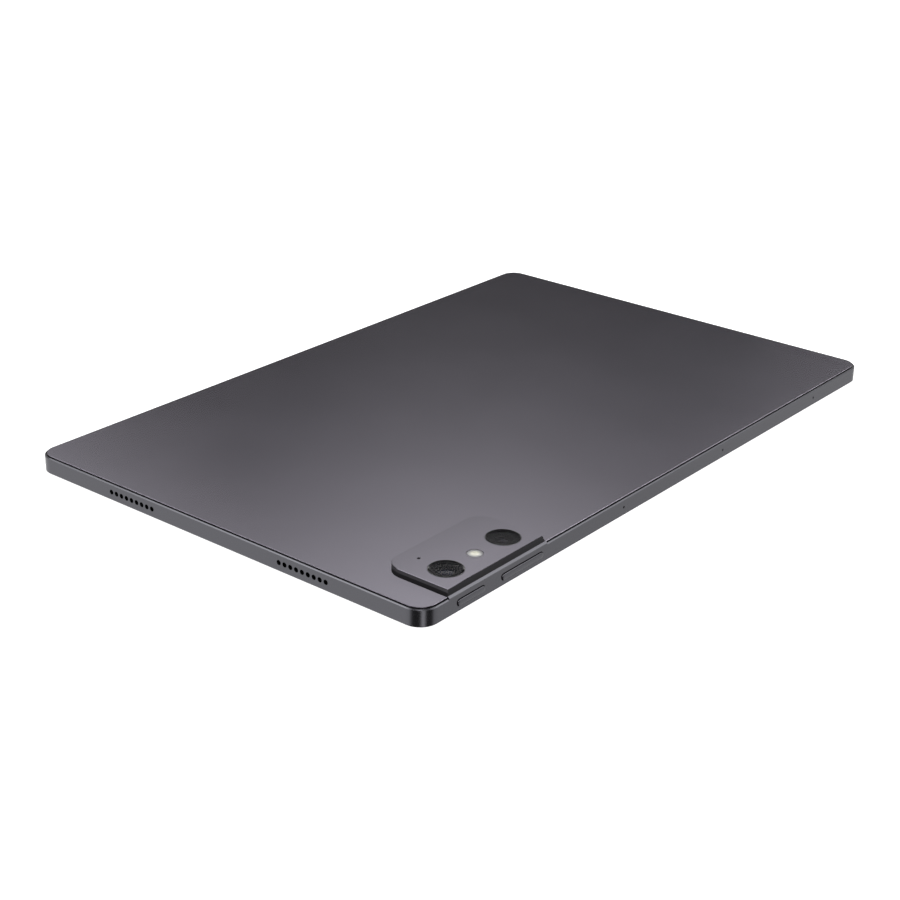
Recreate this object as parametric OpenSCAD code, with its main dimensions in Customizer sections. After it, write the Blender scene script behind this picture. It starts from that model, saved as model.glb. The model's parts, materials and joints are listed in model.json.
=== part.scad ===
// Tablet computer, lying face down: the display's glass is at the bottom and the rear cover on top.
// +X runs along the long side, +Y across it and +Z out of the rear cover. The origin is the middle
// of the glass's outer face.

/* [Body] */
// Length of the body, along X
body_l = 279; // [276:1:290]
// Width of the body, along Y
body_w = 180; // [178:1:188]
// Radius of the body's corners, seen from above
corner_r = 6.9; // [6.6:0.1:7.6]
// Thickness of the frame's wall
wall_t = 2.4; // [2.3:0.1:2.5]
// Height of the frame's lower edge over the glass's outer face
frame_bottom = 0.3; // [0.25:0.05:0.4]
// Height of the frame's rim
rim_z = 6.48; // [6.45:0.01:6.6]
// Bevel along the rim
rim_bevel = 0.33; // [0.2:0.01:0.35]
// Bevel along the lower edge
foot_bevel = 0.3; // [0.2:0.05:0.4]

/* [Rear cover] */
// Height of the cover's flat middle
cover_top = 6.93; // [6.9:0.01:7]
// Height of the cover's outer edge
cover_edge = 6.84; // [6.8:0.01:6.88]
// Height of the ledge that carries the cover
ledge_z = 6.15; // [6.1:0.05:6.2]
// Width of the rounding along the cover's edge
curve_w = 0.2; // [0.15:0.05:0.6]
// Distance from the frame's face to the seam
seam_inset = 0.36; // [0.36:0.01:0.4]
// Width of the seam around the cover
seam_w = 0.44; // [0.4:0.01:0.46]
// Depth of the seam below the rim
seam_depth = 0.1; // [0.05:0.01:0.12]

/* [Camera deck] */
// Height of the deck's top face
deck_top = 9.8; // [9.7:0.05:10]
// Length of the top face, along X
deck_l = 48.3; // [48:0.1:49]
// Width of the top face, along Y
deck_w = 26.57; // [26.3:0.01:26.8]
// Width and height of the bevelled lip between the deck and the frame's side
deck_lip = 0.64; // [0.6:0.01:0.68]
// Distance from the frame's short end to the deck
deck_end = 12.55; // [12.4:0.05:12.8]
// Width of the sloping skirt on the two inner sides
deck_skirt = 1.9; // [1.5:0.1:2.2]
// Radius of the deck's two inner corners
deck_r = 7; // [6:0.5:8]
// Direction, from +X, of the corner point where the skirt starts
deck_fade_angle = 129; // [125:1:135]
// Distance between the two lenses
lens_pitch = 29; // [28.8:0.1:29.4]
// Radius of a lens ring
lens_r = 5.98; // [5.8:0.02:6]
// Radius of the flash window
flash_r = 2.8; // [2.6:0.05:2.85]

/* [Buttons and holes] */
// Height of the middle of the buttons and holes
side_z = 3.5; // [3.4:0.05:3.6]
// Length of the power button's slot
power_l = 14; // [13:0.5:15]
// Length of the volume rocker's slot
volume_l = 22.1; // [21:0.1:23]
// Height of a button's slot
slot_h = 2.7; // [2.6:0.05:2.8]
// Gap around a button in its slot
button_gap = 0.25; // [0.2:0.05:0.3]
// How far a button stands out of the frame
button_out = 0.45; // [0.3:0.05:0.5]
// Number of holes in front of each loudspeaker
speaker_holes = 9; // [5:1:9]
// Distance between two loudspeaker holes
speaker_pitch = 2.55; // [2.3:0.05:2.6]
// Radius of a loudspeaker hole
speaker_hole_r = 0.9; // [0.6:0.05:0.9]
// Distance of each loudspeaker from the middle of the short side
speaker_y = 40; // [39.5:0.1:40.2]
// Radius of a microphone hole
mic_hole_r = 0.45; // [0.35:0.05:0.5]

/* [Port and card tray] */
// Width of the port's metal shell
port_w = 8.94; // [8.94:0.01:9]
// Height of the port's metal shell
port_h = 3.16; // [3.16:0.01:3.2]
// Middle of the card tray, along Y
tray_y = -68; // [-68.5:0.1:-67.5]
// Width of the tray's frame
tray_w = 16.4; // [16:0.1:16.5]
// Length of the tray's frame
tray_l = 27.5; // [27.2:0.1:27.6]
// Thickness of the tray's frame
tray_t = 1.4; // [1.2:0.1:1.4]

/* [Hidden] */
$fn = 48;
hull_fn = 32;
cut = 0.05;
reach = 20;

// Colours
frame_grey = [0.36, 0.36, 0.38];
cover_grey = [0.42, 0.41, 0.44];
black = [0.05, 0.05, 0.06];
dark_grey = [0.17, 0.17, 0.18];
steel = [0.72, 0.72, 0.70];
board_green = [0.05, 0.22, 0.16];
flex_amber = [0.55, 0.30, 0.06];

// The space inside the frame's wall
end_x = body_l / 2;
side_y = body_w / 2;
in_x = end_x - wall_t;
in_y = side_y - wall_t;
in_r = corner_r - wall_t;

// Levels from the glass up
glass_t = 0.7;
glass_inset = 0.6;
glass_curve = 0.35;
shelf_z = 0.85;
lcd_z = [glass_t, 1.3];
backlight_z = [lcd_z[1], 2.2];
plate_z = [2.35, 2.7];
board_z = [3.1, 3.9];
chip_top = 4.9;
can_top = 5.2;
sheet_top = 5.3;
cell_z = [2.85, 5.85];
flex_t = 0.12;
floor_flex_z = [2.75, 2.75 + flex_t];
board_flex_z = [board_z[1] + 0.02, board_z[1] + 0.02 + flex_t];
lcd_l = body_l - 17;
lcd_w = body_w - 16;

// The camera deck
deck_x = [-end_x + deck_end, -end_x + deck_end + deck_l];
deck_y = [-side_y + deck_lip + 0.04, -side_y + deck_lip + 0.04 + deck_w];
deck_mid = (deck_x[0] + deck_x[1]) / 2;
deck_shell = 0.45;
deck_wall_end = deck_r * (1 - sin(deck_fade_angle));
deck_fade = deck_skirt * sin(deck_fade_angle) / (sin(deck_fade_angle) - cos(deck_fade_angle) - 1);
deck_plate_z = deck_top - 0.3;
deck_split_z = 8.45;
deck_edge = 0.15;
deck_lip_z = [6.63, 6.63 + deck_lip];
lens_mid = deck_mid + 0.35;
lens_x = [lens_mid - lens_pitch / 2, lens_mid + lens_pitch / 2];
lens_y = deck_y[0] + 8.92;
lens_seat_z = 9.2;
lens_bore_r = 4.9;
lens_glass_r = lens_r - 0.33;
module_w = 8.6;
module_opening = 9;
module_top = 6.9;
flash_y = lens_y - 0.2;
flash_floor = 7.9;
deck_mic = [deck_x[0] + 9.85, deck_y[0] + 19.92];
deck_mic_r = 0.6;
deck_mic_size = [3.4, 2.6, 1];
deck_mic_floor = 7.2;

// Buttons
power_x = -end_x + 23.2;
volume_x = -end_x + 49.55;
button_h = slot_h - 2 * button_gap;
flange_over = 1;
flange_h = 3.2;
flange_t = 0.4;
power_flange_gap = 0.12;
volume_flange_gap = 0.3;
switch_y = [-in_y + 1.05, -in_y + 2.05];
switch_x = [power_x, volume_x - 8, volume_x + 8];
button_run = [power_x - power_l / 2 - 1, volume_x + volume_l / 2 + 0.5];

// Card tray
tray_z = 3.9;
door_l = 25;
door_h = 2.6;
door_t = 1.1;
door_y = tray_y + 0.2;
door_gap = 0.12;
tray_back = end_x - door_t - tray_l;
reader_y = [tray_y - 9.4, tray_y + 9.4];
reader_z = [2.8, 5];
reader_back = tray_back - 1.4;
rod_y = tray_y + 10.6;
rod_r = 0.5;

// Boards and battery
main_x = [-116, -58];
main_y = [-70, 58];
sub_x = [tray_back - 4.1, 130.8];
sub_half = 22;
arm_w = 2.5;
screw_points = [
    [main_x[0] + 3, main_y[0] + 3], [main_x[1] - 3, main_y[0] + 3],
    [main_x[0] + 3, main_y[1] - 3], [main_x[1] - 3, main_y[1] - 3],
    [sub_x[0] + 3.5, -sub_half + 3], [sub_x[0] + 3.5, sub_half - 8.5]
];
screw_r = 0.7;
boss_r = 1.6;
cell_x = [[-52, 26], [28, 106]];
cell_half = 60;
cell_r = 3;
terrace_z = 4.2;
link_y = [62, 70];
display_flex_x = [-64, -48];
front_x = 0;
front_y = -in_y + 2.75;
front_half = 2.4;
mic_x = [-32.3, 32.3, 100.4];

// A box between two values along each axis
module block(x, y, z) {
    translate([x[0], y[0], z[0]])
        cube([x[1] - x[0], y[1] - y[0], z[1] - z[0]]);
}

module rounded_rect(l, w, r) {
    square([l - 2 * r, w], center = true);
    square([l, w - 2 * r], center = true);
    for (sx = [-1, 1], sy = [-1, 1])
        translate([sx * (l / 2 - r), sy * (w / 2 - r)])
            circle(r);
}

// A flat plate with round corners, in the middle of the body
module plate(l, w, r, z) {
    translate([0, 0, z[0]])
        linear_extrude(z[1] - z[0])
            rounded_rect(l, w, r);
}

// A flat plate whose edge lies a given distance inside the body's outline
module inset_plate(inset, z) {
    plate(body_l - 2 * inset, body_w - 2 * inset, corner_r - inset, z);
}

// A small chip or can with round corners, around a point
module chip(at, size, r, z) {
    translate([at[0], at[1], z[0]])
        linear_extrude(z[1] - z[0])
            rounded_rect(size[0], size[1], r);
}

// Carries a profile once around the body. The profile's x is the distance from a corner's centre,
// so corner_r is the body's outer face, and its y is the height.
module around_body() {
    centre = [body_l / 2 - corner_r, body_w / 2 - corner_r];
    for (turn = [0:3]) {
        swap = turn % 2 == 1;
        cx = swap ? centre[1] : centre[0];
        cy = swap ? centre[0] : centre[1];
        rotate(90 * turn)
            translate([cx, cy, 0]) {
                rotate_extrude(angle = 90)
                    children();
                rotate([90, 0, 0])
                    linear_extrude(2 * cy)
                        children();
            }
    }
}

module stadium(l, h) {
    square([l - h, h], center = true);
    for (side = [-1, 1])
        translate([side * (l - h) / 2, 0])
            circle(h / 2);
}

// A bar of stadium section that runs along Y
module stadium_y(x, z, l, h, y) {
    translate([x, y[1], z])
        rotate([90, 0, 0])
            linear_extrude(y[1] - y[0])
                stadium(l, h);
}

// A bar of stadium section that runs along X
module stadium_x(y, z, l, h, x) {
    translate([x[0], y, z])
        rotate([90, 0, 90])
            linear_extrude(x[1] - x[0])
                stadium(l, h);
}

module rod_x(y, z, r, x) {
    translate([x[0], y, z])
        rotate([0, 90, 0])
            cylinder(h = x[1] - x[0], r = r);
}

module rod_y_axis(x, z, r, y) {
    translate([x, y[1], z])
        rotate([90, 0, 0])
            cylinder(h = y[1] - y[0], r = r);
}

// One row of loudspeaker holes through the wall of a short side
module speaker_row(y, x) {
    for (i = [0:speaker_holes - 1])
        rod_x(y + (i - (speaker_holes - 1) / 2) * speaker_pitch, side_z, speaker_hole_r, x);
}

// An outline with square corners on the side at the frame and two round inner corners
module deck_corners(x, y, r) {
    translate([x[0] + r[0], y[0]])
        square([x[1] - x[0] - r[0] - r[1], y[1] - y[0]]);
    for (i = [0, 1])
        translate([i == 0 ? x[0] : x[1] - r[1], y[0]])
            square([r[i], y[1] - r[i] - y[0]]);
    translate([x[0] + r[0], y[1] - r[0]])
        circle(r[0]);
    translate([x[1] - r[1], y[1] - r[1]])
        circle(r[1]);
}

// The deck's outline. The skirt fades to nothing round the inner corner of the outer wall.
module deck_outline(grow, skirt) {
    x = [deck_x[0] - grow, deck_x[1] + grow];
    y = [deck_y[0] - grow, deck_y[1] + grow];
    r = deck_r + grow;
    wide_r = r + deck_fade;
    across = [cos(deck_fade_angle), sin(deck_fade_angle)];
    deck_corners(x, y, [r, r]);
    if (skirt > 0) {
        deck_corners([x[0], x[1] + skirt], [y[0], y[1] + skirt], [wide_r, r]);
        polygon([
            [x[0] + r, y[1] - r],
            [x[0] + r, y[1] - r] + r * across,
            [x[0] + wide_r, y[1] + skirt - wide_r] + wide_r * across
        ]);
    }
}

module deck_level(z, grow, skirt) {
    translate([0, 0, z])
        linear_extrude(0.01)
            deck_outline(grow, skirt);
}

// The deck's foot in the rear cover
module deck_foot(grow, z) {
    translate([0, 0, z[0]])
        linear_extrude(z[1] - z[0])
            deck_outline(grow, deck_skirt);
}

// The whole deck as one solid, which its three pieces share out
module deck_solid() {
    hull($fn = hull_fn) {
        deck_level(cover_edge - 0.1, 0, deck_skirt);
        deck_level(deck_top - deck_edge, 0, 0);
        deck_level(deck_top - 0.01, -deck_edge, 0);
    }
    deck_foot(0, [ledge_z, cover_edge - 0.09]);
}

// The part of the deck behind its outer shell
module deck_core(z) {
    block(
        [deck_x[0] - reach, deck_x[1] - deck_shell],
        [deck_y[0] - reach, deck_y[1] - deck_wall_end],
        z
    );
}

// Openings through the deck's plate and frame for the lenses, the flash and the microphone
module deck_openings() {
    for (x = lens_x) {
        translate([x, lens_y, lens_seat_z])
            cylinder(h = reach, r = lens_r + 0.02);
        translate([x, lens_y, deck_split_z - cut])
            cylinder(h = reach, r = lens_bore_r);
    }
    translate([deck_mid, flash_y, lens_seat_z])
        cylinder(h = reach, r = flash_r + 0.05);
    translate([deck_mid, flash_y, deck_split_z - cut])
        cylinder(h = reach, r = flash_r - 0.5);
    translate([deck_mic[0], deck_mic[1], deck_split_z - cut])
        cylinder(h = reach, r = deck_mic_r);
}

module side_frame() {
    profile = [
        [corner_r - foot_bevel, frame_bottom],
        [corner_r, frame_bottom + foot_bevel],
        [corner_r, rim_z - rim_bevel],
        [corner_r - rim_bevel, rim_z],
        [corner_r - seam_inset, rim_z],
        [corner_r - seam_inset, ledge_z],
        [in_r, ledge_z],
        [in_r, shelf_z],
        [corner_r - glass_inset + 0.05, shelf_z],
        [corner_r - glass_inset + 0.05, frame_bottom]
    ];
    lip = [
        [-side_y, ledge_z],
        [-side_y, deck_lip_z[0]],
        [-side_y + deck_lip, deck_lip_z[1]],
        [-side_y + deck_lip, ledge_z]
    ];
    color(frame_grey)
        difference() {
            union() {
                around_body()
                    polygon(profile);
                translate([deck_x[0], 0, 0])
                    rotate([90, 0, 90])
                        linear_extrude(deck_l + deck_skirt)
                            polygon(lip);
            }
            for (side = [-1, 1]) {
                speaker_row(side * speaker_y, [-end_x - 1, -in_x + 1]);
                speaker_row(side * speaker_y, [in_x - 1, end_x + 1]);
            }
            for (x = mic_x)
                rod_y_axis(x, side_z, mic_hole_r, [-side_y - 1, -in_y + 1]);
            stadium_y(power_x, side_z, power_l, slot_h, [-side_y - 1, -in_y + 1]);
            stadium_y(volume_x, side_z, volume_l, slot_h, [-side_y - 1, -in_y + 1]);
            stadium_x(0, side_z, port_w + 0.1, port_h + 0.1, [in_x - 1, end_x + 1]);
            stadium_x(
                door_y, tray_z, door_l + 2 * door_gap, door_h + 2 * door_gap,
                [end_x - door_t - door_gap, end_x + 1]
            );
            block(
                [in_x - 1, end_x],
                [tray_y - tray_w / 2 - 0.25, tray_y + tray_w / 2 + 0.25],
                [tray_z - tray_t / 2 - 0.25, tray_z + tray_t / 2 + 0.25]
            );
            rod_x(rod_y, tray_z, rod_r + 0.05, [in_x - 1, end_x]);
        }
}

module rear_cover() {
    steps = 5;
    edge_x = corner_r - seam_inset - seam_w;
    drop = cover_top - cover_edge;
    profile = concat(
        [[edge_x - curve_w, ledge_z], [edge_x, ledge_z]],
        [for (i = [0:steps])
            let (a = 90 * i / steps)
            [edge_x - curve_w * (1 - cos(a)), cover_edge + drop * sin(a)]]
    );
    color(cover_grey)
        difference() {
            union() {
                inset_plate(seam_inset + seam_w + curve_w, [ledge_z, cover_top]);
                around_body()
                    polygon(profile);
            }
            deck_foot(cut, [ledge_z - 1, cover_top + 1]);
        }
}

module rear_cover_seal() {
    x0 = corner_r - seam_inset - seam_w + 0.01;
    x1 = corner_r - seam_inset - 0.01;
    color(black)
        difference() {
            around_body()
                translate([x0, ledge_z])
                    square([x1 - x0, rim_z - seam_depth - ledge_z]);
            deck_foot(cut, [ledge_z - 1, cover_top + 1]);
            block(
                [deck_x[0] - cut, deck_x[1] + deck_skirt + cut],
                [-side_y, deck_y[1]],
                [ledge_z - 1, cover_top + 1]
            );
        }
}

module camera_deck() {
    color(cover_grey)
        difference() {
            deck_solid();
            deck_core([ledge_z - 1, deck_plate_z]);
            deck_openings();
        }
}

module camera_deck_frame() {
    color(dark_grey)
        difference() {
            intersection() {
                deck_solid();
                deck_core([deck_split_z, deck_plate_z]);
            }
            deck_openings();
        }
}

module camera_deck_base() {
    color(black)
        difference() {
            intersection() {
                deck_solid();
                deck_core([ledge_z, deck_split_z]);
            }
            for (x = lens_x)
                translate([x - module_opening / 2, lens_y - module_opening / 2, ledge_z - 1])
                    cube([module_opening, module_opening, reach]);
            translate([deck_mid, flash_y, flash_floor])
                cylinder(h = reach, r = flash_r - 0.5);
            translate([
                deck_mic[0] - deck_mic_size[0] / 2 - 0.1,
                deck_mic[1] - deck_mic_size[1] / 2 - 0.1,
                deck_mic_floor
            ])
                cube([deck_mic_size[0] + 0.2, deck_mic_size[1] + 0.2, reach]);
        }
}

module lens_ring(x) {
    color(black)
        translate([x, lens_y, lens_seat_z])
            difference() {
                cylinder(h = deck_top + 0.1 - lens_seat_z, r = lens_r);
                translate([0, 0, -1])
                    cylinder(h = reach, r = lens_glass_r + 0.02);
            }
}

module lens_ring_main() { lens_ring(lens_x[0]); }
module lens_ring_wide() { lens_ring(lens_x[1]); }

module lens_cover(x) {
    color(black)
        translate([x, lens_y, lens_seat_z])
            cylinder(h = deck_top + 0.03 - lens_seat_z, r = lens_glass_r);
}

module lens_cover_main() { lens_cover(lens_x[0]); }
module lens_cover_wide() { lens_cover(lens_x[1]); }

// A camera module: a square sensor can, a voice coil housing and the lens barrel
module camera_module(x, barrel_r) {
    color(dark_grey) {
        chip([x, lens_y], [module_w, module_w], 0.6, [plate_z[1] + 0.05, module_top]);
        translate([x, lens_y, module_top])
            cylinder(h = deck_split_z - module_top, r = module_w / 2 - 0.2);
        translate([x, lens_y, deck_split_z])
            cylinder(h = 0.6, r = barrel_r);
    }
}

module camera_module_main() { camera_module(lens_x[0], 3.9); }
module camera_module_wide() { camera_module(lens_x[1], 3.2); }

module flash_lens() {
    color([0.92, 0.91, 0.82])
        translate([deck_mid, flash_y, lens_seat_z])
            cylinder(h = deck_top - lens_seat_z, r = flash_r);
}

module flash_led() {
    led_r = 1.9;
    color([0.95, 0.85, 0.35]) {
        translate([deck_mid, flash_y, flash_floor])
            cylinder(h = 0.4, r = led_r);
        chip([deck_mid, flash_y], [2, 2], 0.2, [flash_floor + 0.4, flash_floor + 0.8]);
    }
}

module deck_microphone() {
    color(steel)
        chip(deck_mic, deck_mic_size, 0.2, [deck_mic_floor, deck_mic_floor + deck_mic_size[2]]);
}

module cover_glass() {
    steps = 4;
    edge_x = corner_r - glass_inset;
    profile = concat(
        [[edge_x - glass_curve, glass_t], [edge_x - glass_curve, 0]],
        [for (i = [1:steps])
            let (a = 90 * i / steps)
            [edge_x - glass_curve * (1 - sin(a)), glass_curve * (1 - cos(a))]],
        [[edge_x, glass_t]]
    );
    color(black) {
        inset_plate(glass_inset + glass_curve, [0, glass_t]);
        around_body()
            polygon(profile);
    }
}

module display_adhesive() {
    color(dark_grey)
        difference() {
            inset_plate(glass_inset + 0.1, [glass_t, shelf_z]);
            inset_plate(wall_t - 0.1, [glass_t - 1, shelf_z + 1]);
        }
}

module lcd_panel() {
    color([0.08, 0.09, 0.12])
        plate(lcd_l, lcd_w, 2, lcd_z);
}

module backlight_unit() {
    color([0.85, 0.86, 0.88])
        plate(lcd_l - 1, lcd_w - 1, 1.5, backlight_z);
}

// The display's ribbon: from the backlight's back, up through the mid plate and over to the board
module display_flex() {
    fold_y = lcd_w / 2 + 0.9;
    x = display_flex_x;
    low_z = [backlight_z[1], backlight_z[1] + flex_t];
    high_z = [floor_flex_z[1] + 0.03, floor_flex_z[1] + 0.03 + flex_t];
    color(flex_amber) {
        block(x, [fold_y - 5, fold_y], low_z);
        block(x, [fold_y, fold_y + flex_t], [low_z[0], high_z[1]]);
        block(x, [cell_half + 0.5, fold_y], high_z);
        block([x[0], x[0] + 8], [main_y[1] - 1, cell_half + 0.5], high_z);
    }
}

module mid_plate() {
    color([0.60, 0.61, 0.63])
        difference() {
            union() {
                inset_plate(wall_t, plate_z);
                for (p = screw_points)
                    translate([p[0], p[1], plate_z[1] - cut])
                        cylinder(h = board_z[0] - plate_z[1] + cut, r = boss_r);
            }
            block(button_run + [-1, 1], [-in_y - 1, -in_y + 3.1], plate_z + [-1, 1]);
            block([sub_x[1] - 1.3, in_x + 1], [-port_w / 2 - 1, port_w / 2 + 1], plate_z + [-1, 1]);
            block(
                [front_x - front_half - 0.8, front_x + front_half + 0.8],
                [-in_y - 1, front_y + front_half + 0.6], plate_z + [-1, 1]
            );
            block(
                display_flex_x + [-0.5, 0.5],
                [lcd_w / 2 + 0.5, lcd_w / 2 + 1.5], plate_z + [-1, 1]
            );
            for (p = screw_points)
                translate([p[0], p[1], plate_z[0] - 1])
                    cylinder(h = reach, r = screw_r + 0.03);
        }
}

module board_holes() {
    for (p = screw_points)
        translate([p[0], p[1], board_z[0] - 1])
            cylinder(h = reach, r = screw_r + 0.15);
}

module main_board() {
    mid = [(main_x[0] + main_x[1]) / 2, (main_y[0] + main_y[1]) / 2];
    size = [main_x[1] - main_x[0], main_y[1] - main_y[0]];
    color(board_green)
        difference() {
            chip(mid, size, 1.5, board_z);
            board_holes();
        }
}

module processor() {
    color(dark_grey)
        chip([-88, 2], [15, 15], 0.3, [board_z[1], chip_top]);
}

module memory_chips() {
    color(black)
        for (y = [-15, 19])
            chip([-88, y], [13, 11.5], 0.3, [board_z[1], chip_top - 0.2]);
}

module power_chips() {
    color(black)
        for (x = [-104, -92, -80, -70])
            chip([x, -51], [6, 6], 0.2, [board_z[1], chip_top - 0.3]);
}

module shield_can(x, y) {
    wall = 0.2;
    color(steel)
        difference() {
            block(x, y, [board_z[1], can_top]);
            block(x + [wall, -wall], y + [wall, -wall], [board_z[1] - 1, can_top - wall]);
        }
}

can_x = [-111, -63];
module shield_can_large() { shield_can(can_x, [-25, 30]); }
module shield_can_small() { shield_can(can_x, [-60, -28]); }

module graphite_sheet() {
    color([0.12, 0.12, 0.13])
        block(can_x + [2, -2], [-23, 28], [can_top, sheet_top]);
}

// Plug-in sockets for the ribbons: three on the main board and one on the sub board
module board_connectors() {
    z = [board_flex_z[1] + 0.02, board_flex_z[1] + 0.8];
    color(black) {
        chip([-95, main_y[1] - 3], [9, 2.6], 0.2, z);
        chip([sub_x[0] + 6.5, sub_half - 3], [5, 2.6], 0.2, z);
        chip([main_x[1] - 3, main_y[0] + 8], [2.6, 3.4], 0.2, z);
    }
}

module board_screws() {
    head_r = 1.3;
    head_h = 0.5;
    color(steel)
        for (p = screw_points)
            translate([p[0], p[1], 0])
                difference() {
                    union() {
                        translate([0, 0, board_z[1]])
                            cylinder(h = head_h, r = head_r);
                        translate([0, 0, plate_z[0]])
                            cylinder(h = board_z[1] + cut - plate_z[0], r = screw_r);
                    }
                    for (turn = [0, 90])
                        rotate(turn)
                            translate([-0.6, -0.12, board_z[1] + 0.25])
                                cube([1.2, 0.24, head_h]);
                }
}

// A pouch cell with its thinner sealed ledge at the battery board's side
module battery_cell(x) {
    mid = (x[0] + x[1]) / 2;
    color([0.16, 0.16, 0.17]) {
        chip([mid, 0], [x[1] - x[0], 2 * cell_half], cell_r, cell_z);
        block([x[0] + 6, x[1] - 6], [-cell_half - 6, -cell_half + 1], [cell_z[0], terrace_z]);
    }
}

module battery_cell_left() { battery_cell(cell_x[0]); }
module battery_cell_right() { battery_cell(cell_x[1]); }

module battery_adhesive() {
    color([0.92, 0.92, 0.90])
        for (x = cell_x, side = [0.2, 0.65])
            block(
                [x[0] + (x[1] - x[0]) * side, x[0] + (x[1] - x[0]) * side + 12],
                [-cell_half + 4, cell_half - 4],
                [plate_z[1], cell_z[0]]
            );
}

module battery_board() {
    y = [-cell_half - 9.5, -cell_half - 6.2];
    color(board_green)
        block([cell_x[0][0] + 1, cell_x[1][1] - 2], y, [board_z[0], board_z[1]]);
    color(black)
        for (x = [-40, -10, 20, 50, 80])
            block([x, x + 6], y + [0.5, -0.5], [board_z[1], board_z[1] + 0.7]);
}

module battery_flex() {
    color(flex_amber)
        block([main_x[1] - 6, cell_x[0][0] + 3], [main_y[0] + 5.8, main_y[0] + 5.9 + 3], board_flex_z);
}

module sub_board() {
    color(board_green)
        difference() {
            union() {
                block(sub_x, [-sub_half, sub_half], board_z);
                block([sub_x[0], sub_x[0] + arm_w], [tray_y - 9, -sub_half + 1], board_z);
            }
            board_holes();
        }
}

// The long ribbon between the two boards, around the battery
module board_link_flex() {
    start_x = [-100, -90];
    end_band = [sub_x[0] + 3.5, sub_x[0] + 9.5];
    step = 0.15;
    color(flex_amber) {
        block(start_x, [main_y[1] - 6, main_y[1] + step], board_flex_z);
        block(start_x, [main_y[1] + step, main_y[1] + 2 * step], [floor_flex_z[0], board_flex_z[1]]);
        block(start_x, [main_y[1] + step, link_y[1]], floor_flex_z);
        block([start_x[0], end_band[1]], link_y, floor_flex_z);
        block(end_band, [sub_half + step, link_y[1]], floor_flex_z);
        block(end_band, [sub_half + step, sub_half + 2 * step], [floor_flex_z[0], board_flex_z[1]]);
        block(end_band, [sub_half - 5, sub_half + 2 * step], board_flex_z);
    }
}

port_x = [sub_x[1] + 0.5, end_x - 0.5];
port_wall = 0.3;
module usb_c_shell() {
    color(steel)
        difference() {
            stadium_x(0, side_z, port_w, port_h, port_x);
            stadium_x(
                0, side_z, port_w - 2 * port_wall, port_h - 2 * port_wall,
                [port_x[0] + port_wall, port_x[1] + 1]
            );
        }
}

module usb_c_tongue() {
    half_w = 3.35;
    half_t = 0.35;
    color(black)
        block(
            [port_x[0] + port_wall, port_x[1] - 1],
            [-half_w, half_w],
            [side_z - half_t, side_z + half_t]
        );
}

// A loudspeaker in its closed plastic chamber, with the sound outlet towards the frame
module speaker(end, side) {
    size = [18, 32];
    x = end * (in_x - 0.7 - size[0] / 2);
    outlet_x = end > 0
        ? [x + size[0] / 2 - 2, x + size[0] / 2 + 1]
        : [x - size[0] / 2 - 1, x - size[0] / 2 + 2];
    color(dark_grey)
        difference() {
            chip([x, side * speaker_y], size, 2, [plate_z[1] + 0.05, cell_z[1]]);
            stadium_x(side * speaker_y, side_z, 22.5, 1.5, outlet_x);
            translate([x, side * speaker_y, cell_z[1] - 0.3])
                linear_extrude(1)
                    rounded_rect(11, 22, 4);
        }
}

module speaker_1() { speaker(-1, -1); }
module speaker_2() { speaker(-1, 1); }
module speaker_3() { speaker(1, -1); }
module speaker_4() { speaker(1, 1); }

module speaker_meshes() {
    mesh_t = 0.2;
    color([0.10, 0.10, 0.11])
        for (end = [-1, 1], side = [-1, 1])
            translate([end * (in_x - 0.2) - mesh_t / 2, side * speaker_y - 12, side_z - 0.75])
                cube([mesh_t, 24, 2.4]);
}

module front_camera() {
    color(dark_grey) {
        translate([front_x, front_y, glass_t])
            cylinder(h = 1.1, r = 1.6);
        chip([front_x, front_y], [2 * front_half, 2 * front_half], 0.4, [glass_t + 1, 4.6]);
    }
}

module front_camera_flex() {
    y0 = front_y + front_half;
    turn_y = [-79, -75];
    color(flex_amber) {
        block([front_x - 2, front_x + 2], [y0, turn_y[1]], floor_flex_z);
        block([main_x[1] - 6, front_x + 2], turn_y, floor_flex_z);
        block([main_x[1] - 6, main_x[1] - 2], [turn_y[0], main_y[0] + 0.5], floor_flex_z);
    }
}

module light_sensor() {
    color(dark_grey)
        chip([front_x + 14, front_y], [3, 2], 0.2, [glass_t, 1.9]);
}

module edge_microphones() {
    color(steel)
        for (x = mic_x)
            block([x - 1.8, x + 1.8], [-in_y + 0.1, -in_y + 1.3], [plate_z[1] + 0.05, side_z + 0.9]);
}

// A button: its cap stands in the frame's slot, and a flange behind the wall keeps it in
module button(x, slot_l, flange_gap, studs) {
    cap_l = slot_l - 2 * button_gap;
    flange_y = [-in_y + flange_gap, -in_y + flange_gap + flange_t];
    stud_y = [flange_y[0] + cut, switch_y[0] - 0.4];
    color(frame_grey) {
        stadium_y(x, side_z, cap_l, button_h, [-side_y - button_out, flange_y[0] + cut]);
        stadium_y(x, side_z, slot_l + 2 * flange_over, flange_h, flange_y);
        for (s = studs)
            rod_y_axis(s, side_z, 0.6, stud_y);
    }
}

module power_button() {
    button(power_x, power_l, power_flange_gap, [switch_x[0]]);
}

module volume_rocker() {
    button(volume_x, volume_l, volume_flange_gap, [switch_x[1], switch_x[2]]);
}

module button_switches() {
    base_t = 0.6;
    color(steel)
        for (x = switch_x) {
            block([x - 1.6, x + 1.6], [switch_y[1] - base_t, switch_y[1]], [plate_z[1] + 0.1, side_z + 1.2]);
            rod_y_axis(x, side_z, 0.7, [switch_y[0], switch_y[1] - base_t + cut]);
        }
}

module button_flex() {
    tail_x = [deck_mid - 2.5, deck_mid + 2.5];
    y = [switch_y[1], switch_y[1] + flex_t];
    color(flex_amber) {
        block(button_run, y, [floor_flex_z[0], side_z + 1.4]);
        block(tail_x, [y[1] + 0.4, main_y[0] + 2], floor_flex_z);
        block(tail_x, [y[0], y[1] + 0.5], floor_flex_z);
    }
}

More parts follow.
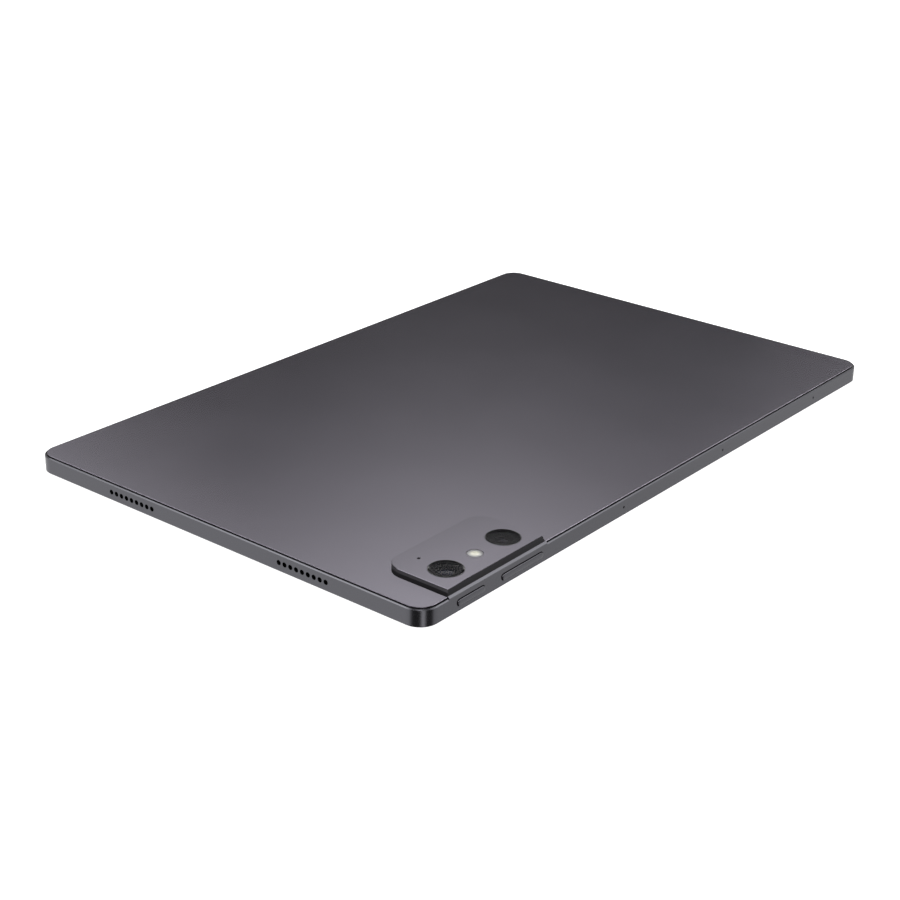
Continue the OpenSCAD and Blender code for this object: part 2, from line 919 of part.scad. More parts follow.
module button_bracket() {
    y = [switch_y[1] + flex_t, switch_y[1] + flex_t + 0.35];
    color(steel)
        block(button_run, y, [floor_flex_z[1] + 0.03, side_z + 1.6]);
}

// The card tray: a door flush with the frame and a frame with two pockets
module card_tray() {
    sim = [8.8, 12.3];
    memory = [15, 11];
    bar = 1;
    floor_t = 0.3;
    tray_x = [tray_back, end_x - door_t + cut];
    mid_z = [tray_z - tray_t / 2, tray_z + tray_t / 2];
    pocket_z = [mid_z[0] + floor_t, mid_z[1] + 1];
    sim_x = tray_back + bar;
    memory_x = sim_x + sim[0] + bar;
    color(frame_grey)
        difference() {
            union() {
                stadium_x(door_y, tray_z, door_l, door_h, [end_x - door_t, end_x]);
                block(tray_x, [tray_y - tray_w / 2, tray_y + tray_w / 2], mid_z);
            }
            block([sim_x, sim_x + sim[0]], [tray_y - sim[1] / 2, tray_y + sim[1] / 2], pocket_z);
            block(
                [sim_x + bar, sim_x + sim[0] - bar],
                [tray_y - sim[1] / 2 + bar, tray_y + sim[1] / 2 - bar], mid_z + [-1, 1]
            );
            block(
                [memory_x, memory_x + memory[0]],
                [tray_y - memory[1] / 2, tray_y + memory[1] / 2], pocket_z
            );
            block(
                [memory_x + bar, memory_x + memory[0] - bar],
                [tray_y - memory[1] / 2 + bar, tray_y + memory[1] / 2 - bar], mid_z + [-1, 1]
            );
            rod_x(rod_y, tray_z, rod_r, [end_x - door_t - 1, end_x + 1]);
        }
}

module card_reader() {
    x = [reader_back, in_x - 0.2];
    cavity_half = tray_w / 2 + 0.25;
    cavity_z = [tray_z - tray_t / 2 - 0.15, tray_z + tray_t / 2 + 0.15];
    lug_w = 2;
    color(steel)
        difference() {
            union() {
                block(x, reader_y, reader_z);
                for (lug_x = [x[0] + 8, x[1] - 6])
                    block([lug_x, lug_x + lug_w], [reader_y[1] - cut, rod_y + 1.1], reader_z + [0.1, -0.1]);
            }
            block([x[0] + 1.2, x[1] + 1], [tray_y - cavity_half, tray_y + cavity_half], cavity_z);
            rod_x(rod_y, tray_z, rod_r + 0.05, x);
        }
}

// The pin that a tool pushes through the door's hole to release the tray
module eject_rod() {
    color(steel)
        rod_x(rod_y, tray_z, rod_r, [in_x - 24, in_x - 0.5]);
}

module antenna(x) {
    color([0.20, 0.20, 0.22])
        block(x, [in_y - 1.2, in_y - 0.2], [floor_flex_z[0], side_z + 1.9]);
}

antenna_left_x = [-120, -78];
antenna_right_x = [60, 102];
module antenna_left() { antenna(antenna_left_x); }
module antenna_right() { antenna(antenna_right_x); }

// A thin round cable along straight runs
module cable(points, r) {
    for (i = [0:len(points) - 2]) {
        run = points[i + 1] - points[i];
        length = norm(run);
        translate(points[i])
            rotate([0, acos(run[2] / length), atan2(run[1], run[0])])
                cylinder(h = length, r = r);
    }
    for (p = points)
        translate(p)
            sphere(r);
}

module antenna_cables() {
    cable_r = 0.4;
    plug_z = board_z[1] + 0.7;
    run_z = 3.7;
    color(black) {
        cable([[-106, in_y - 2, plug_z], [-106, main_y[1] - 2, plug_z]], cable_r);
        cable([
            [80, in_y - 2, run_z], [80, 76, run_z], [-84, 76, run_z], [-84, main_y[1] - 2, plug_z]
        ], cable_r);
        for (x = [-106, -84])
            translate([x, main_y[1] - 2, board_z[1]])
                cylinder(h = 1.2, r = 1.1);
    }
}

side_frame();
rear_cover();
rear_cover_seal();
camera_deck();
camera_deck_frame();
camera_deck_base();
lens_ring_main();
lens_ring_wide();
lens_cover_main();
lens_cover_wide();
camera_module_main();
camera_module_wide();
flash_lens();
flash_led();
deck_microphone();
cover_glass();
display_adhesive();
lcd_panel();
backlight_unit();
display_flex();
mid_plate();
main_board();
processor();
memory_chips();
power_chips();
shield_can_large();
shield_can_small();
graphite_sheet();
board_connectors();
board_screws();
battery_cell_left();
battery_cell_right();
battery_adhesive();
battery_board();
battery_flex();
sub_board();
board_link_flex();
usb_c_shell();
usb_c_tongue();
speaker_1();
speaker_2();
speaker_3();
speaker_4();
speaker_meshes();
front_camera();
front_camera_flex();
light_sensor();
edge_microphones();
power_button();
volume_rocker();
button_switches();
button_flex();
button_bracket();
card_tray();
card_reader();
eject_rod();
antenna_left();
antenna_right();
antenna_cables();
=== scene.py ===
"""Looks for the tablet computer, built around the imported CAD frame.

The tablet lies face down on a pale floor: +X is its long side, +Z leaves its rear cover, and the
camera deck is at the corner with the lowest X and Y.
"""
import json
import math

import bmesh
import bpy
from mathutils import Matrix, Vector


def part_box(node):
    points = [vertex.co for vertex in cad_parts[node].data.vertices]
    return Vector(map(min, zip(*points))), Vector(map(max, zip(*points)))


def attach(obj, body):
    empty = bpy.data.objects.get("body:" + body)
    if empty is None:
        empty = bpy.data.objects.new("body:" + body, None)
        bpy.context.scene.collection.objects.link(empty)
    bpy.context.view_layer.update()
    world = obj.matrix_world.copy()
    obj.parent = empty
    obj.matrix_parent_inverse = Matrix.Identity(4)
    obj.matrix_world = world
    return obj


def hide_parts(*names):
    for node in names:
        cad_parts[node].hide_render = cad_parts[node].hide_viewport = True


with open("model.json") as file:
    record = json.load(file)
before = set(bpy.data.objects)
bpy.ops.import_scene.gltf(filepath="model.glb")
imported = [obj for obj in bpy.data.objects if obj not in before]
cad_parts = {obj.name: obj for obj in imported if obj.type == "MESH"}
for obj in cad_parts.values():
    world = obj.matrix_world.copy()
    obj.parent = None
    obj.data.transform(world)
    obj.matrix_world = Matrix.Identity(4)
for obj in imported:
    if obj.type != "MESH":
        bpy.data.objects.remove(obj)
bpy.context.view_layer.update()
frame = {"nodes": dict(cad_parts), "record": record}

MM = 0.001

# ---------------------------------------------------------------- places, from the CAD frame
SLOT_OF = {part["node"]: part["material_slot"] for part in frame["record"]["subparts"]}
DECK_LOW, DECK_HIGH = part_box("camera_deck")


def middle(node):
    """The middle of a CAD node's box."""
    low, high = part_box(node)
    return (low + high) / 2


def radius_of(node):
    """The radius of a CAD node that is round about an upright axis."""
    low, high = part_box(node)
    return (high.x - low.x) / 2


# ---------------------------------------------------------------- node helpers
class Nodes:
    """A node tree and short calls that add and wire its nodes."""

    def __init__(self, tree):
        self.tree = tree

    def add(self, kind, **settings):
        node = self.tree.nodes.new(kind)
        for key, value in settings.items():
            setattr(node, key, value)
        return node

    def link(self, source, target):
        self.tree.links.new(source, target)

    def put(self, socket, value):
        """Sets a socket to a number or tuple, or links another socket to it."""
        if isinstance(value, (int, float, tuple)):
            socket.default_value = value
        else:
            self.link(value, socket)

    def maths(self, operation, a, b=0.0):
        node = self.add("ShaderNodeMath", operation=operation)
        self.put(node.inputs[0], a)
        self.put(node.inputs[1], b)
        return node.outputs[0]

    def ranged(self, value, low, high, to_low=0.0, to_high=1.0, **settings):
        """Maps the range from low to high to another one, and holds its ends beyond it."""
        node = self.add("ShaderNodeMapRange", **settings)
        self.put(node.inputs["Value"], value)
        for name, number in (
            ("From Min", low), ("From Max", high), ("To Min", to_low), ("To Max", to_high)
        ):
            node.inputs[name].default_value = number
        return node.outputs[0]

    def within(self, value, edge, blur):
        """1 up to an edge and 0 past its blur."""
        return self.ranged(value, edge, edge + blur, 1.0, 0.0)


class Shader(Nodes):
    """A material's nodes. Noise and cells have a scale per metre, from the object's own place."""

    def __init__(self, name, colour, roughness=0.5, metallic=0.0, **sockets):
        """Other sockets of the shader are given by their name, with _ for a space."""
        self.material = bpy.data.materials.new(name)
        self.material.use_nodes = True
        super().__init__(self.material.node_tree)
        self.bsdf = self.tree.nodes["Principled BSDF"]
        self.bsdf.inputs["Base Color"].default_value = (*colour, 1)
        self.bsdf.inputs["Roughness"].default_value = roughness
        self.bsdf.inputs["Metallic"].default_value = metallic
        for socket, value in sockets.items():
            self.bsdf.inputs[socket.replace("_", " ")].default_value = value
        self.place = self.add("ShaderNodeTexCoord").outputs["Object"]

    def noise(self, scale, detail=2.0, roughness=0.5, stretch=None):
        node = self.add("ShaderNodeTexNoise")
        node.inputs["Scale"].default_value = scale
        node.inputs["Detail"].default_value = detail
        node.inputs["Roughness"].default_value = roughness
        self.link(self.stretched(stretch), node.inputs["Vector"])
        return node.outputs["Fac"]

    def cells(self, scale, stretch=None, feature="F1"):
        node = self.add("ShaderNodeTexVoronoi", feature=feature)
        node.inputs["Scale"].default_value = scale
        self.link(self.stretched(stretch), node.inputs["Vector"])
        return node.outputs["Distance"]

    def stretched(self, stretch):
        """The place, multiplied along each axis."""
        if stretch is None:
            return self.place
        node = self.add("ShaderNodeVectorMath", operation="MULTIPLY")
        self.link(self.place, node.inputs[0])
        node.inputs[1].default_value = stretch
        return node.outputs[0]

    def mixed(self, fac, a, b):
        """Colour a where fac is 0 and colour b where it is 1."""
        node = self.add("ShaderNodeMix", data_type="RGBA")
        self.put(node.inputs["Factor"], fac)
        for socket, value in ((node.inputs["A"], a), (node.inputs["B"], b)):
            self.put(socket, (*value, 1) if isinstance(value, tuple) else value)
        return node.outputs["Result"]

    def axis(self, letter):
        node = self.add("ShaderNodeSeparateXYZ")
        self.link(self.place, node.inputs[0])
        return node.outputs[letter]

    def distance(self, centre):
        """Distance from the upright line through a centre."""
        dx = self.maths("SUBTRACT", self.axis("X"), centre.x)
        dy = self.maths("SUBTRACT", self.axis("Y"), centre.y)
        squares = self.maths("ADD", self.maths("MULTIPLY", dx, dx), self.maths("MULTIPLY", dy, dy))
        return self.maths("SQRT", squares)

    def past(self, letter, edge):
        """1 beyond a value along an axis and 0 before it."""
        return self.maths("GREATER_THAN", self.axis(letter), edge)

    def between(self, letter, low, high, blur):
        """1 between two values along an axis and 0 outside them."""
        value = self.axis(letter)
        rise = self.ranged(value, low - blur, low + blur)
        return self.maths("MULTIPLY", rise, self.within(value, high - blur, 2 * blur))

    def colour(self, value):
        self.link(value, self.bsdf.inputs["Base Color"])

    def rough(self, value):
        self.link(value, self.bsdf.inputs["Roughness"])

    def bump(self, *layers):
        """Each layer is a height and its depth in metres."""
        normal = None
        for height, depth in layers:
            node = self.add("ShaderNodeBump")
            node.inputs["Distance"].default_value = depth
            node.inputs["Strength"].default_value = 1.0
            self.link(height, node.inputs["Height"])
            if normal is not None:
                self.link(normal, node.inputs["Normal"])
            normal = node.outputs["Normal"]
        self.link(normal, self.bsdf.inputs["Normal"])


def scaled(colour, factor):
    """A colour made lighter or darker."""
    return tuple(min(1, channel * factor) for channel in colour)


# ---------------------------------------------------------------- materials
COVER_GREY = (0.1395, 0.1305, 0.155)
FRAME_GREY = (0.130, 0.129, 0.143)
WALL_GREY = (0.060, 0.0575, 0.063)
# painted shade: the deck's side at the frame's long side, darker than its other dark side
FRONT_PAINTED_SHADE = (0.010, 0.0095, 0.0115)
DECK_BLACK = (0.016, 0.0153, 0.0167)
LACQUER_GREEN = (0.012, 0.08, 0.05)
ON_FACE = 0.01 * MM   # a point of the deck this near to one of its faces is on it
POLISHED = 0.001 * MM   # the depth of the grain on polished and printed surfaces


def blasted_metal(name, colour, roughness, deck=False):
    """Anodised aluminium: bead blasting's fine grain, and faint clouds where hands have polished it.

    The deck adds a shading of its own."""
    s = Shader(name, colour, roughness, metallic=1.0, Specular_IOR_Level=0.12)
    fine = s.noise(9000, 2.0, 0.6)
    cloud = s.noise(28, 3.0, 0.55)
    tint = s.mixed(s.ranged(cloud, 0.3, 0.7), scaled(colour, 0.985), scaled(colour, 1.015))
    shade = s.mixed(s.ranged(fine, 0.3, 0.7, 0.0, 0.05), tint, scaled(colour, 1.12))
    grain = s.ranged(fine, 0.2, 0.8, -0.006, 0.006)
    handled = s.ranged(cloud, 0.3, 0.7, -0.003, 0.003)
    gloss = s.maths("ADD", s.maths("ADD", grain, handled), roughness)
    if deck:
        shade = deck_shade(s, shade, scaled(colour, 0.86))
    s.colour(shade)
    s.rough(gloss)
    s.bump((fine, 0.0001 * MM))
    return s.material


def deck_shade(s, shade, inner_shade):
    """Darkens the deck's metal towards its inner side, and leaves its two outer sides as dark plastic, the
    one at the frame's long side darker with painted shade.
    """
    starts = DECK_LOW.y + 6 * MM
    shade = s.mixed(s.ranged(s.axis("Y"), starts, DECK_HIGH.y), shade, inner_shade)
    on_top = s.maths("MULTIPLY", s.past("X", DECK_LOW.x + ON_FACE), s.past("Y", DECK_LOW.y + ON_FACE))
    # the side at the frame's long side gets painted shade
    walls = s.mixed(s.past("Y", DECK_LOW.y + ON_FACE), FRONT_PAINTED_SHADE, WALL_GREY)
    s.link(on_top, s.bsdf.inputs["Metallic"])
    return s.mixed(on_top, walls, shade)


def deck_wall(name, colour):
    """The deck's dark plastic sides, whose face at the frame's long side is the darkest, with painted
    shade.
    """
    s = Shader(name, colour, 0.4, Specular_IOR_Level=0.12)
    grain = s.noise(3000, 3.0, 0.55)
    inner = s.mixed(grain, scaled(colour, 0.85), colour)
    # the face at the frame's long side gets painted shade
    s.colour(s.mixed(s.past("Y", DECK_LOW.y + ON_FACE), FRONT_PAINTED_SHADE, inner))
    s.rough(s.ranged(grain, 0.25, 0.75, 0.36, 0.46))
    s.bump((grain, 0.003 * MM))
    return s.material


def plain(name, colour, roughness, metallic=0.0, depth=0.004 * MM, **sockets):
    """A moulded, stamped or printed surface: slight mottling, uneven gloss and a fine grain."""
    s = Shader(name, colour, roughness, metallic, **sockets)
    spread = 0.12
    grain = s.noise(3000, 3.0, 0.55)
    cloud = s.noise(50, 2.0)
    mottle = s.ranged(cloud, 0.3, 0.7)
    s.colour(s.mixed(mottle, scaled(colour, 1 - spread), scaled(colour, 1 + spread)))
    s.rough(s.ranged(grain, 0.25, 0.75, max(0.02, roughness - 0.05), min(1, roughness + 0.05)))
    s.bump((grain, depth))
    return s.material


def display_glass():
    """Black glass over the lit area, a shade lighter, the front camera's eye and the light sensor."""
    s = Shader("display_glass", (0.004, 0.004, 0.005), 0.05)
    pupil_r = 0.75 * MM
    ring_inner_r = 1.25 * MM
    ring_outer_r = 1.6 * MM
    sensor_r = 0.9 * MM
    blur = 0.05 * MM
    lit_blur = 0.03 * MM
    lcd_low, lcd_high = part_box("lcd_panel")
    lit = s.maths(
        "MULTIPLY",
        s.between("X", lcd_low.x, lcd_high.x, lit_blur),
        s.between("Y", lcd_low.y, lcd_high.y, lit_blur),
    )
    from_eye = s.distance(middle("front_camera"))
    ring = s.maths(
        "MULTIPLY",
        s.ranged(from_eye, ring_inner_r, ring_inner_r + blur),
        s.within(from_eye, ring_outer_r, blur),
    )
    sensor = s.within(s.distance(middle("light_sensor")), sensor_r, blur)
    shade = s.mixed(lit, (0.003, 0.003, 0.0032), (0.009, 0.0095, 0.011))
    shade = s.mixed(ring, shade, (0.016, 0.016, 0.02))
    shade = s.mixed(s.within(from_eye, pupil_r, blur), shade, (0.006, 0.008, 0.022))
    s.colour(s.mixed(sensor, shade, (0.014, 0.011, 0.016)))
    smudge = s.noise(60, 4.0, 0.6)
    s.rough(s.ranged(smudge, 0.35, 0.75, 0.03, 0.075))
    s.bump((smudge, 0.0008 * MM))
    return s.material


def clear_glass(name, ior):
    """A coated window, which mirrors little and shows what lies under it."""
    s = Shader(name, (1, 1, 1), 0.02, Transmission_Weight=1.0, IOR=ior)
    smudge = s.noise(900)
    s.rough(s.ranged(smudge, 0.3, 0.8, 0.0, 0.03))
    return s.material


def flash_window():
    """A moulded window: cream over the lamp, clouded white around it and grey at its rim."""
    s = Shader("flash_window", (0.5, 0.5, 0.48), 0.4, Specular_IOR_Level=0.3)
    cream, clouded, grey = (0.72, 0.71, 0.62), (0.34, 0.34, 0.35), (0.12, 0.115, 0.125)
    lamp_r, clouded_r = 1.1 * MM, 2.1 * MM
    rim_r, grey_r = 2.25 * MM, 2.5 * MM
    out = s.distance(middle("flash_lens"))
    shade = s.mixed(s.ranged(out, lamp_r, clouded_r), cream, clouded)
    s.colour(s.mixed(s.ranged(out, rim_r, grey_r), shade, grey))
    grain = s.noise(6000)
    s.rough(s.ranged(grain, 0.3, 0.7, 0.35, 0.46))
    s.bump((grain, POLISHED))
    return s.material


def lens_coating(name, tint):
    """A lens element's coating: near black with a faint uneven tint."""
    s = Shader(name, tint, 0.06, IOR=1.1)
    swirl = s.noise(400)
    s.colour(s.mixed(s.ranged(swirl, 0.3, 0.7), scaled(tint, 0.7), tint))
    s.rough(s.ranged(swirl, 0.3, 0.7, 0.04, 0.08))
    return s.material


def woven(name, colour, pitch):
    """A fine metal gauze, whose wires pass over and under each other, with painted shade in the openings
    between them.
    """
    s = Shader(name, colour, 0.45, 1.0)
    wires = []
    for letter in "YZ":
        turns = s.maths("MULTIPLY", s.axis(letter), 2 * math.pi / pitch)
        wires.append(s.maths("ABSOLUTE", s.maths("SINE", turns)))
    height = s.maths("MAXIMUM", *wires)
    # painted shade: the low openings between the wires are painted near black
    s.colour(s.mixed(s.ranged(height, 0.45, 0.8), (0.004, 0.004, 0.004), colour))
    s.bump((height, pitch / 4))
    return s.material


def circuit_board():
    """Green lacquer over copper runs, with fine pads."""
    s = Shader("board", LACQUER_GREEN, 0.3)
    copper = s.within(s.cells(700, (1, 0.35, 1), "DISTANCE_TO_EDGE"), 0.02, 0.04)
    pads = s.within(s.cells(1500), 0.12, 0.04)
    shade = s.mixed(copper, LACQUER_GREEN, (0.02, 0.15, 0.09))
    s.colour(s.mixed(pads, shade, (0.55, 0.42, 0.18)))
    s.bump((copper, 0.02 * MM), (pads, 0.01 * MM))
    return s.material


def ribbon_film():
    """Amber film over parallel copper runs."""
    s = Shader("flex_film", (0.42, 0.20, 0.04), 0.3)
    radians_per_metre = 9000
    turns = s.maths("MULTIPLY", s.axis("X"), radians_per_metre)
    runs = s.maths("ABSOLUTE", s.maths("SINE", turns))
    s.colour(s.mixed(s.ranged(runs, 0.3, 0.5), (0.30, 0.13, 0.025), (0.50, 0.25, 0.06)))
    s.bump((runs, 0.008 * MM))
    return s.material


def battery_wrap():
    """The cell's dark laminate, which creases slightly."""
    s = Shader("battery_wrap", (0.07, 0.07, 0.075), 0.42)
    crease = s.noise(160, 4.0, 0.65, (1, 0.35, 1))
    grain = s.noise(3500)
    # painted shade in the creases' valleys and painted highlight on their crests, following the bump
    s.colour(s.mixed(s.ranged(crease, 0.3, 0.7), (0.058, 0.058, 0.063), (0.08, 0.08, 0.085)))
    s.rough(s.ranged(crease, 0.3, 0.7, 0.36, 0.48))
    s.bump((crease, 0.12 * MM), (grain, 0.003 * MM))
    return s.material


MATERIALS = {
    "frame_metal": blasted_metal("frame_metal", FRAME_GREY, 0.26),
    "cover_metal": blasted_metal("cover_metal", COVER_GREY, 0.22),
    "deck_wall": deck_wall("deck_wall", WALL_GREY),
    "deck_black": deck_wall("deck_black", DECK_BLACK),
    "seam_rubber": plain("seam_rubber", (0.008, 0.008, 0.009), 0.6),
    "lens_trim": plain("lens_trim", (0.01, 0.01, 0.011), 0.2, depth=POLISHED),
    "lens_glass": clear_glass("lens_glass", 1.05),
    "flash_window": flash_window(),
    "led": plain("led", (0.85, 0.62, 0.15), 0.5),
    "display_glass": display_glass(),
    "display_adhesive": plain("display_adhesive", (0.02, 0.02, 0.02), 0.8),
    "lcd": plain("lcd", (0.02, 0.022, 0.03), 0.15, depth=POLISHED),
    "backlight_sheet": plain("backlight_sheet", (0.80, 0.82, 0.84), 0.4),
    "flex_film": ribbon_film(),
    "plate_metal": plain("plate_metal", (0.50, 0.50, 0.52), 0.42, 1.0),
    "board": circuit_board(),
    "chip": plain("chip", (0.03, 0.03, 0.032), 0.5),
    "can_steel": plain("can_steel", (0.60, 0.60, 0.59), 0.3, 1.0),
    "graphite": plain("graphite", (0.04, 0.04, 0.042), 0.45, 0.3),
    "screw_steel": plain("screw_steel", (0.55, 0.55, 0.54), 0.3, 1.0),
    "battery_wrap": battery_wrap(),
    "white_tape": plain("white_tape", (0.85, 0.85, 0.83), 0.6),
    "port_steel": plain("port_steel", (0.62, 0.62, 0.61), 0.25, 1.0),
    "black_plastic": plain("black_plastic", (0.02, 0.02, 0.022), 0.5),
    "mesh": woven("mesh", (0.10, 0.10, 0.105), 0.12 * MM),
    "cable_jacket": plain("cable_jacket", (0.02, 0.02, 0.02), 0.5),
}
DECK_METAL = blasted_metal("deck_metal", COVER_GREY, 0.22, deck=True)
PRINT_BLACK = plain("print_black", (0.006, 0.006, 0.007), 0.6, depth=POLISHED, Specular_IOR_Level=0.0)
COATING = {
    "main": lens_coating("coating_main", (0.008, 0.009, 0.014)),
    "wide": lens_coating("coating_wide", (0.004, 0.004, 0.007)),
}
GOLD = plain("contact_gold", (0.75, 0.55, 0.22), 0.25, 1.0, depth=POLISHED)
for node_name, node in frame["nodes"].items():
    if not node.material_slots:
        node.data.materials.append(None)
    for place in node.material_slots:
        place.material = MATERIALS[SLOT_OF[node_name]]


# ---------------------------------------------------------------- mesh helpers
class Skin:
    """A mesh under construction. Every form in it is a skin through loops of equal length."""

    def __init__(self):
        self.mesh = bmesh.new()

    def loft(self, loops, ring=False):
        """Skins the loops in turn. The ends are closed, or a ring joins its last loop to its first."""
        rows = [[self.mesh.verts.new(point) for point in loop] for loop in loops]
        if ring:
            rows.append(rows[0])
        count = len(rows[0])
        for low, high in zip(rows, rows[1:]):
            for i in range(count):
                j = (i + 1) % count
                self.mesh.faces.new((low[i], low[j], high[j], high[i]))
        if not ring:
            self.mesh.faces.new(reversed(rows[0]))
            self.mesh.faces.new(rows[-1])

    def turned(self, centre, profile, ring=False, sides=64):
        """A form turned about Z: the profile's points are a radius and a height."""
        turns = [2 * math.pi * i / sides for i in range(sides)]
        self.loft([
            [(centre.x + radius * math.cos(turn), centre.y + radius * math.sin(turn), z) for turn in turns]
            for radius, z in profile
        ], ring)

    def block(self, low, high, bevel):
        """A box with chamfered edges along Z."""
        middle_x, middle_y = (low[0] + high[0]) / 2, (low[1] + high[1]) / 2
        outline = rounded(high[0] - low[0], high[1] - low[1], bevel, 1)
        self.loft([[(middle_x + x, middle_y + y, z) for x, y in outline] for z in (low[2], high[2])])

    def piece(self, name, body, nodes=(), slot=None, material=None, sharp=32):
        """Makes the piece: it rides on a body, stands for some CAD nodes and takes a slot's finish.

        An edge that turns by more than sharp degrees stays sharp."""
        bmesh.ops.remove_doubles(self.mesh, verts=self.mesh.verts, dist=0.0001 * MM)
        bmesh.ops.recalc_face_normals(self.mesh, faces=self.mesh.faces)
        data = bpy.data.meshes.new(name)
        self.mesh.to_mesh(data)
        self.mesh.free()
        data.shade_smooth()
        data.set_sharp_from_angle(angle=math.radians(sharp))
        thing = bpy.data.objects.new(name, data)
        bpy.context.collection.objects.link(thing)
        slot = slot or SLOT_OF[nodes[0]]
        data.materials.append(material or MATERIALS[slot])
        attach(thing, body)
        if nodes:
            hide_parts(*nodes)
        return thing


def rounded(length, width, radius, steps=10):
    """The outline of a rectangle with round corners, about the origin. Half the width as radius
    makes a stadium."""
    outline = []
    for corner, (side_x, side_y) in enumerate(((1, 1), (-1, 1), (-1, -1), (1, -1))):
        for i in range(steps + 1):
            angle = math.radians(90 * (corner + i / steps))
            outline.append((
                side_x * (length / 2 - radius) + radius * math.cos(angle),
                side_y * (width / 2 - radius) + radius * math.sin(angle),
            ))
    return outline


# ---------------------------------------------------------------- camera deck
PRINT_T = 0.02 * MM   # the gap under a lens window that its black print fills
SEAT_DEPTH = 0.75 * MM   # from a barrel's top down to the seat of its glass element
BARREL_R = {"main": 3.9 * MM, "wide": 3.2 * MM}


def deck_shell(node, material):
    """A deck node's own mesh with its facets shaded as the round forms they stand for."""
    shell = Skin()
    shell.mesh.from_mesh(frame["nodes"][node].data)
    thing = shell.piece(node + "_shell", "body", [node], material=material, sharp=25)
    blend = thing.modifiers.new("even_normals", "WEIGHTED_NORMAL")
    blend.keep_sharp = True
    thing.visible_glossy = False


def lens_ring(which):
    """The thin trim around a window: rounded outside and bevelled inside."""
    node = "lens_ring_" + which
    low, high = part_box(node)
    outer_r = radius_of(node)
    inner_r = radius_of("lens_cover_" + which) + 0.02 * MM
    bevel = 0.08 * MM
    rounding = ((0, 0.14 * MM), (0.03 * MM, 0.06 * MM), (0.11 * MM, 0))
    profile = [(inner_r, low.z), (outer_r, low.z)]
    profile += [(outer_r - inwards, high.z - down) for inwards, down in rounding]
    profile += [(inner_r + bevel, high.z), (inner_r, high.z - bevel)]
    ring = Skin()
    ring.turned(middle(node), profile, ring=True, sides=96)
    ring.piece(node + "_turned", "body", [node])


def lens_window(which):
    """The clear window over a camera, chamfered below and slightly domed above."""
    node = "lens_cover_" + which
    low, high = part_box(node)
    radius = radius_of(node)
    bottom = low.z + PRINT_T
    chamfer = 0.08 * MM
    edge_round = 0.05 * MM
    dome = 0.04 * MM
    steps = 8
    profile = [
        (radius - chamfer, bottom),
        (radius, bottom + chamfer),
        (radius, high.z - dome - edge_round),
    ]
    for step in range(steps + 1):
        out = 1 - 0.98 * step / steps
        profile.append((radius * (out - 0.01), high.z - dome * out ** 2))
    window = Skin()
    window.turned(middle("lens_ring_" + which), profile, sides=96)
    glass = window.piece("lens_window_" + which, "body", [node])
    # Light reaches the barrel straight through the window, as a refracted path would speckle it
    glass.visible_shadow = False
    glass.visible_diffuse = False
    glass.visible_glossy = False


def lens_print(which):
    """The black print under a window, with a hole over the barrel."""
    node = "lens_cover_" + which
    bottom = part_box(node)[0].z
    top = bottom + PRINT_T * 0.9
    hole_r = BARREL_R[which] - 0.5 * MM
    outer_r = radius_of(node) - 0.1 * MM
    mask = Skin()
    mask.turned(middle("lens_ring_" + which), [
        (hole_r, bottom), (outer_r, bottom), (outer_r, top), (hole_r, top)
    ], ring=True)
    mask.piece("lens_print_" + which, "body", slot="lens_trim", material=PRINT_BLACK)


def camera_module(which):
    """A camera module: its can, the round housing on that, and the barrel that steps down inside."""
    node = "camera_module_" + which
    low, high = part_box(node)
    centre = middle("lens_ring_" + which)
    can_top = low.z + 4.15 * MM
    can_corner_r = 0.6 * MM
    housing_r = (high.x - low.x) / 2 - 0.2 * MM
    housing_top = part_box("camera_deck_base")[1].z
    barrel_r = BARREL_R[which]
    step_in, step_down = 0.28 * MM, 0.17 * MM
    steps = 4

    module = Skin()
    can = rounded(high.x - low.x, high.y - low.y, can_corner_r)
    module.loft([
        [(centre.x + x * scale, centre.y + y * scale, z) for x, y in can]
        for scale, z in ((1, low.z), (1, can_top - 0.2 * MM), (0.97, can_top - 0.01 * MM))
    ])
    profile = [(housing_r, can_top)]
    profile += bevelled(housing_r, housing_top, 0.1 * MM)
    profile += [(barrel_r, housing_top)]
    profile += bevelled(barrel_r, high.z, 0.08 * MM)
    for step in range(steps):
        radius = barrel_r - 0.45 * MM - step_in * step
        top = high.z - step_down * step
        profile += [(radius, top), (radius - 0.04 * MM, top - step_down)]
    profile += [(barrel_r - 1.75 * MM, high.z - SEAT_DEPTH)]
    module.turned(centre, profile)
    module.piece(node + "_barrel", "body", [node], material=PRINT_BLACK)


def bevelled(radius, top, size):
    """The two points of a turned form's bevelled top edge."""
    return [(radius, top - size), (radius - size, top)]


def lens_element(which):
    """The coated glass in a barrel's seat: a dome on a thin edge."""
    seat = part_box("camera_module_" + which)[1].z - SEAT_DEPTH
    radius = BARREL_R[which] - 1.45 * MM
    crown = 0.45 * MM
    edge = 0.02 * MM
    profile = [(radius, seat + 0.005 * MM)]
    for degrees in range(0, 90, 10):
        angle = math.radians(degrees)
        profile.append((radius * math.cos(angle), seat + edge + crown * math.sin(angle)))
    profile.append((radius * 0.03, profile[-1][1]))
    element = Skin()
    element.turned(middle("lens_ring_" + which), profile)
    element.piece("lens_element_" + which, "body", slot="lens_trim", material=COATING[which])


def flash():
    """The flash window, with the concentric steps of a flat lens moulded into its top."""
    node = "flash_lens"
    low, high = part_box(node)
    radius = radius_of(node)
    rim = 0.14 * MM
    sunk = 0.02 * MM
    groove = 0.05 * MM
    pitch = 0.24 * MM
    out = radius - 0.5 * MM
    profile = [
        (radius, low.z),
        (radius, high.z - rim),
        (radius - rim, high.z - sunk),
        (out + 0.04 * MM, high.z - sunk),
    ]
    while out > pitch:
        profile += [(out, high.z - groove - sunk), (out - pitch * 0.9, high.z)]
        out -= pitch
    window = Skin()
    window.turned(middle(node), profile)
    window.piece("flash_window", "body", [node], sharp=20)


